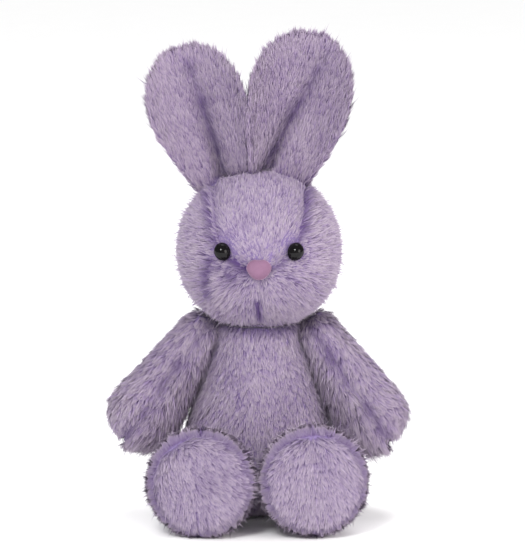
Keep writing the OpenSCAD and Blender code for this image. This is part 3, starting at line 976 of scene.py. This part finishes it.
def makeLeg(side, sign, soleNap):
    hip = np.array(joints[side + "_leg_lift"])
    low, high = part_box(side + "_sole")
    sole = np.array(((low.x + high.x) / 2, low.y, (low.z + high.z) / 2))
    reach = leg["reach"]
    axis = unit(sole - hip)
    sole = hip + axis * reach
    across = sideways(axis, (0.0, 0.0, 1.0), sign)
    soleSeam = reach - leg["soleDepth"]
    edge = leg["edge"]
    soleRadius = leg["footRadius"] - edge + math.sqrt(edge ** 2 - (edge - leg["soleDepth"]) ** 2)

    def seamGap(p):
        q = p - hip
        u = q @ axis
        radial = np.linalg.norm(q - u[:, None] * axis, axis=1)
        ring = np.hypot(u - soleSeam, radial - soleRadius)
        sides = np.where(u < soleSeam, np.abs(q @ across), 1)
        return np.minimum(ring, sides)

    def front(p):
        # how near a point is to the edge of the sole
        return ramp(((p - hip) @ axis / reach - leg["frontFrom"]) / leg["frontRun"])

    def rim(p):
        # the rounded edge beside the sole, where the nap stands outwards
        return ramp(((p - hip) @ axis / reach - leg["rimFrom"]) / leg["rimRun"])

    def flow(p, n):
        q = p - hip
        away = unit(q - (q @ axis)[:, None] * axis)
        out = rim(p)[:, None]
        return axis * (1 - 2 * out) + away * out + down * 0.25 * (1 - out)

    def soleFlow(p, n):
        q = p - sole
        away = q - (q @ axis)[:, None] * axis
        radial = np.linalg.norm(away, axis=1, keepdims=True)
        return np.array(soleNap) + unit(away) * (0.2 + 0.5 * ramp((radial - 0.019) / 0.007))

    def soleLength(p):
        q = p - sole
        radial = np.linalg.norm(q - (q @ axis)[:, None] * axis, axis=1)
        return solePile["shortPile"] + solePile["rimLonger"] * ramp((radial - 0.020) / 0.006)

    form = lathe(side + "LegForm", legSide(reach), leg["rounds"])
    turnTo(form, axis, hip)
    remeshed(form, leg["voxel"])
    fill(form, seamGap, leg)
    points = places(form)
    points[:, 2] = np.maximum(points[:, 2], leg["ground"])
    moveTo(form, points)
    cutAlong(form, [(hip, across), (hip + axis * soleSeam, axis)])
    names = [side + "Sole", side + "LegOuter", side + "LegInner"]

    def panelOf(p):
        q = p - hip
        return np.where(q @ axis > soleSeam, 0, np.where(q @ across > 0, 1, 2))

    panels = partInto(form, panelOf, names)
    finishPanel(panels[names[0]], "plush_sole", side + "_sole", side + "_leg",
                dict(solePile, length=soleLength), soleFlow, seamGap, 60 + 4 * sign)
    # painted light lifts the strands at the sole's edge out of their shade
    cfg = dict(legPile, length=lambda p: legPile["longPile"] - legPile["rimShorter"] * rim(p),
               raised=lambda p: front(p) * legPile["frontRise"],
               facing=lambda p: axis * front(p)[:, None] * 2,
               paintedLight=lambda p: front(p) * legPile["frontPaintedLight"])
    for number, name in enumerate(names[1:]):
        node = side + ("_leg_outer", "_leg_inner")[number]
        finishPanel(panels[name], "plush", node, side + "_leg", cfg, flow, seamGap,
                    61 + number + 4 * sign)


makeLeg("left", 1, (0.05, 0, -1))
makeLeg("right", -1, (0.6, 0, -0.8))
print("legs made")


# ears

ears = {
    "left": {"length": 0.0845, "width": 0.057, "lean": 9.0, "inner": 0.0205,
             "creaseFrom": -0.0157, "creaseSlope": 0.368},
    "right": {"length": 0.0812, "width": 0.054, "lean": 16.5, "inner": 0.0155,
              "creaseFrom": 0.0047, "creaseSlope": -0.026},
}
ear = {
    "foot": 0.001, "outer": 0.0095, "wideAt": 0.58, "bend": 0.98, "cup": 0.038, "across": 41, "up": 57,
    "thick": 0.0046, "edgeGap": 0.0003, "tipGap": 0.0006, "creaseDepth": 0.0085, "creaseWidth": 0.0036,
    "curl": 0.004, "meet": 0.0026, "sink": 0.0015, "reach": 0.009,
}
earPile = dict(pileBase, perSquareMm=4.8, wave=0.05, wander=0.08, jitter=0.13, lift=0.32,
               paintedFoldWidth=0.0038, paintedFoldShade=1.1, shortPile=0.0055, edgeLonger=0.0014)
earBackPile = dict(earPile, paintedFoldShade=0.15, perSquareMm=3.5)


def makeEar(side, sign):
    shape = ears[side]
    root = np.array(joints[side + "_ear_fold"])
    lean = math.radians(shape["lean"]) * sign
    c, s = math.cos(lean), math.sin(lean)
    toWorld = np.array([[c, 0, s], [0, 1, 0], [-s, 0, c]])
    wideAt, half = ear["wideAt"] * shape["length"], shape["width"] / 2

    def halfWidth(z, x):
        # the inner side stays wide down to the foot, where it meets the other ear
        base = np.where(x * sign < 0, shape["inner"], ear["outer"])
        climb = np.sin(ramp((z - ear["foot"]) / (wideAt - ear["foot"])) * math.pi / 2)
        low = base + (half - base) * climb ** ear["bend"]
        top = half * np.sqrt(ramp(1 - ((z - wideAt) / (shape["length"] - wideAt)) ** 2))
        reach = np.where(x * sign < 0, ear["meet"], 0) * ramp(2 - z / wideAt)
        return np.where(z < wideAt, low, top) + reach

    def creaseX(z):
        return shape["creaseFrom"] + shape["creaseSlope"] * z

    def middle(x, z):
        v = ramp(z / shape["length"])
        y = np.sqrt(np.maximum(ear["cup"] ** 2 - x ** 2, 0)) - ear["cup"]
        curl = -ear["curl"] * (np.abs(x) / half) ** 2 * (1 - v)
        creaseWide = ear["creaseWidth"] * (0.8 + 1.6 * v)
        fold = ear["creaseDepth"] * np.exp(-np.abs((x - creaseX(z)) / creaseWide) ** 1.5)
        return y + curl + fold * ramp(1.15 - v * 1.4) ** 0.7

    def local(p):
        # across and up in the ear's own plane
        return ((p - root) @ toWorld)[:, (0, 2)].T

    def seamGap(p):
        # painted shade falls only along the crease, the outline is left light
        x, z = local(p)
        v = ramp(z / shape["length"])
        gap = np.abs(x - creaseX(z)) / (0.55 + 1.5 * v)
        soft = 0.0011 * (1 + np.sin(z * 420 + sign) * np.sin(z * 170))
        return np.where(v < 0.90, gap + soft + 0.006 * ramp(v - 0.45), 1)

    def flow(p, n):
        x = local(p)[0]
        fan = np.stack([x / half * 0.55, 0 * x, np.ones(len(x))], 1)
        return fan @ toWorld.T

    def length(p):
        x, z = local(p)
        edge = ramp(np.abs(x) / np.maximum(halfWidth(z, x), 1e-4))
        return earPile["shortPile"] + earPile["edgeLonger"] * edge ** 2

    def layer(name, facing):
        bpy.ops.mesh.primitive_grid_add(x_subdivisions=ear["across"], y_subdivisions=ear["up"], size=2)
        piece = named(name)
        flat = places(piece)
        u, v = flat[:, 0], (flat[:, 1] + 1) / 2
        top = shape["length"] - ear["tipGap"]
        z = ear["foot"] + (top - ear["foot"]) * (v * 0.35 + 0.65 * np.sin(v * math.pi / 2))
        x = u * halfWidth(z, u)
        ends = np.sqrt(ramp(1 - ((v - 0.5) * 2).clip(0, 1) ** 6))
        rim = np.sqrt(ramp(1 - u ** 2)) ** 0.7 * ends
        y = middle(x, z) + facing * (ear["edgeGap"] + ear["thick"] / 2 * rim)
        grown = np.stack([x, y, z], 1) @ toWorld.T + root
        # the lower edge follows the head down
        crown = np.sqrt(np.maximum(headRadius ** 2 - ((grown - headCentre)[:, :2] ** 2).sum(1), 0))
        short = np.clip(grown[:, 2] - (headCentre[2] + crown - ear["sink"]), 0, ear["reach"])
        grown[:, 2] -= short * (1 - v) ** 5
        moveTo(piece, grown)
        editing(piece)
        bpy.ops.mesh.remove_doubles(threshold=0.0001)
        edited()
        facingNow = normals(piece)[len(piece.data.vertices) // 2][1]
        if facingNow * facing < 0:
            piece.data.flip_normals()
        applied(piece, "SUBSURF", {"levels": 1, "render_levels": 1})
        return piece

    for number, (part, facing, pile) in enumerate((("Front", -1, earPile), ("Back", 1, earBackPile))):
        panel = layer(side + "Ear" + part, facing)
        cfg = dict(pile, length=length)
        finishPanel(panel, "plush_ear", side + "_ear_" + part.lower(), side + "_ear", cfg, flow, seamGap,
                    80 + number + 3 * sign)


makeEar("left", 1)
makeEar("right", -1)
print("ears made")


# eyes and nose

eye = {
    "segments": 48, "rings": 24, "radius": 0.0055, "narrow": 0.9, "skirt": 0.0006, "standOff": 0.0012,
    "stemLength": 0.0088, "stemWidth": 0.36, "bevel": 0.0003, "aimHigh": 0.006,
}
eyeShine = eyeMaterial()
noseFlock = grainMaterial("flocked_nose")


def makeEye(side):
    pupil = eyePlaces[side]
    outward = unit(np.array((pupil[0], pupil[1], headCentre[2] + eye["aimHigh"])) - headCentre)
    seat = headCentre + outward * headRadius
    bpy.ops.mesh.primitive_uv_sphere_add(segments=eye["segments"], ring_count=eye["rings"],
                                         radius=eye["radius"])
    piece = named(side + "Eye")
    editing(piece)
    bpy.ops.transform.resize(value=(eye["narrow"], 1, 1), center_override=(0, 0, 0))
    bpy.ops.mesh.bisect(plane_co=(0, 0, 0), plane_no=(0, 0, 1), clear_inner=True)
    bpy.ops.mesh.select_mode(type="EDGE")
    bpy.ops.mesh.select_all(action="DESELECT")
    bpy.ops.mesh.select_non_manifold()
    bpy.ops.mesh.extrude_edges_move(TRANSFORM_OT_translate={"value": (0, 0, -eye["skirt"])})
    bpy.ops.mesh.extrude_edges_move(TRANSFORM_OT_translate={"value": (0, 0, 0)})
    bpy.ops.transform.resize(value=(eye["stemWidth"], eye["stemWidth"], 1), center_override=(0, 0, 0))
    bpy.ops.mesh.extrude_edges_move(TRANSFORM_OT_translate={"value": (0, 0, -eye["stemLength"])})
    bpy.ops.mesh.edge_face_add()
    bpy.ops.mesh.select_all(action="SELECT")
    bpy.ops.mesh.normals_make_consistent(inside=False)
    edited()
    applied(piece, "BEVEL", {"width": eye["bevel"], "segments": 2, "limit_method": "ANGLE"})
    only(piece)
    bpy.ops.object.shade_smooth_by_angle(angle=math.radians(40))
    turnTo(piece, outward, seat + outward * eye["standOff"])
    piece.data.materials.append(eyeShine)
    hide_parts(side + "_eye")
    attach(piece, "head")


makeEye("left")
makeEye("right")

nose = {
    "segments": 64, "rings": 32, "narrow": 0.88, "topWide": 0.06, "tipNarrow": 0.22, "topFlat": 0.94,
    "tipDrop": 1.08, "pinch": 0.10, "pinchWidth": 0.25, "depth": 0.0056, "square": (0.94, 0.9),
}
low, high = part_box("nose")
bpy.ops.mesh.primitive_uv_sphere_add(segments=nose["segments"], ring_count=nose["rings"], radius=1)
muzzle = named("nosePad")
p = places(muzzle)
x, y, z = p.T
wide = np.where(z > 0, 1 + nose["topWide"] * z, 1 + z * nose["tipNarrow"])
rise = np.where(z > 0, z * nose["topFlat"], z * nose["tipDrop"])
pinch = 1 - nose["pinch"] * bell(x / nose["pinchWidth"]) * (z > 0) * z
halfW, halfH = (high.x - low.x) / 2, (high.z - low.z) / 2
p = np.stack([np.sign(x) * np.abs(x) ** nose["square"][0] * wide * halfW * nose["narrow"],
              np.sign(y) * np.abs(y) ** nose["square"][1] * nose["depth"],
              rise * pinch * halfH], 1)
moveTo(muzzle, p + np.array((0, low.y + nose["depth"], (low.z + high.z) / 2)))
only(muzzle)
bpy.ops.object.shade_smooth()
muzzle.data.materials.append(noseFlock)
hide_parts("nose")
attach(muzzle, "head")
print("eyes and nose made")


# hidden parts of the frame

fibre = grainMaterial("polyester_fibre")
beanCloth = wovenMaterial("bean_bag_cloth", (0.50, 0.48, 0.42), (0.82, 0.80, 0.74), 0.0008)
thread = threadMaterial()
nylon = grainMaterial("moulded_nylon")
hidden = {"stuffing": fibre, "bean_bag": beanCloth, "stitching": thread, "washer": nylon}
for name, node in frame["nodes"].items():
    for ending, finish in hidden.items():
        if name.endswith(ending):
            node.data.materials.clear()
            node.data.materials.append(finish)
            for place in node.material_slots:
                place.material = finish
print("hidden parts finished")


# floor, light and camera

bpy.ops.mesh.primitive_plane_add(size=6)
floor = named("studioFloor")
floor.data.materials.append(grainMaterial("studio_floor"))

world = bpy.data.worlds.new("studio")
scene.world = world
world.use_nodes = True
world.node_tree.nodes["Background"].inputs["Color"].default_value = (1, 1, 1, 1)
# mirror reflections see a dimmer room, so that the eyes stay black
rays = world.node_tree.nodes.new("ShaderNodeLightPath")
glossy = Wire(world.node_tree, rays.outputs["Is Glossy Ray"])
connect(1.03 - glossy * 0.85, world.node_tree.nodes["Background"], "Strength")


def softbox(name, place, aim, size, power, colour=(1, 1, 1)):
    bpy.ops.object.light_add(type="AREA", location=place)
    lamp = bpy.context.object
    lamp.name = name
    lamp.data.shape = "DISK"
    lamp.data.size = size
    lamp.data.energy = power
    lamp.data.color = colour
    lamp.rotation_mode = "QUATERNION"
    lamp.rotation_quaternion = (Vector(aim) - Vector(place)).to_track_quat("-Z", "Y")


softbox("keyLight", (-0.38, -1.15, 1.05), (0, 0, 0.14), 0.42, 13)
softbox("fillLight", (1.1, -0.9, 0.5), (0, 0, 0.12), 0.9, 9, (1.0, 0.93, 0.91))
softbox("topLight", (0.1, 0.5, 1.3), (0, 0, 0.15), 0.7, 6)

camera = bpy.data.cameras.new("camera")
cameraPlace = bpy.data.objects.new("camera", camera)
scene.collection.objects.link(cameraPlace)
view = {"elevation": 10.0, "distance": 3.5, "aim": (0.0021, 0, 0.143),
        "lens": 386, "sensor": 36, "near": 0.01}
camera.lens = view["lens"]
camera.sensor_width = view["sensor"]
camera.clip_start = view["near"]
tilt = math.radians(view["elevation"])
aim = Vector(view["aim"])
cameraPlace.location = aim + Vector((0, -math.cos(tilt), math.sin(tilt))) * view["distance"]
cameraPlace.rotation_euler = (math.pi / 2 - tilt, 0, 0)
scene.camera = cameraPlace
scene.view_settings.view_transform = "Standard"
print("stage set")
